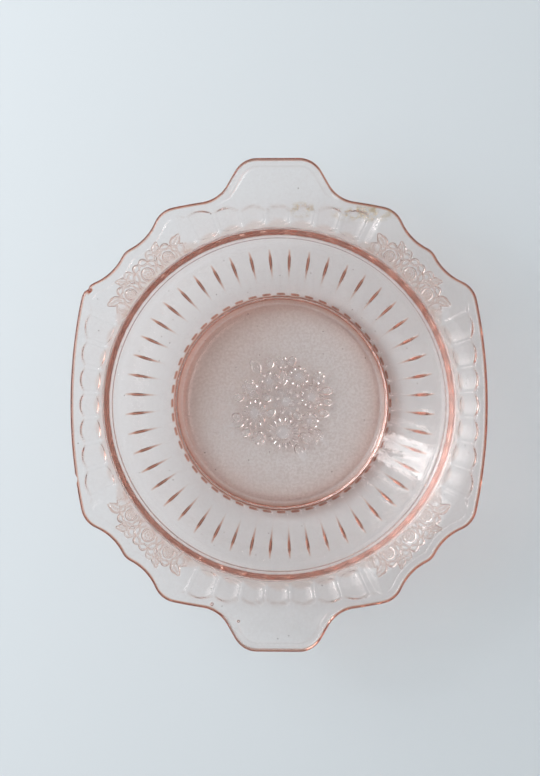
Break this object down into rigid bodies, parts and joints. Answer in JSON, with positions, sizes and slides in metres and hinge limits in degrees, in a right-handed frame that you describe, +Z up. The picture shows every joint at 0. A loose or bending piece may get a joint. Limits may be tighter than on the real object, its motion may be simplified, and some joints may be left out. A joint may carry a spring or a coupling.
{
  "type": "candy dish",
  "caption": "Open pressed glass candy dish: round fluted bowl on a foot ring, squarish wavy flange, tab handles at two opposite sides.",
  "frame": {"origin": "centre of the foot ring, at the level of the table it rests on", "axes": "+Z up out of the open bowl, the two handles along +Y and -Y, a plain side on +X and on -X"},
  "size_m": [0.178, 0.21, 0.0449],
  "materials": {
    "pink_glass": "fire-polished, glossy"
  },
  "bodies": {
    "root": {"dish": "pink_glass"}
  },
  "joints": []
}
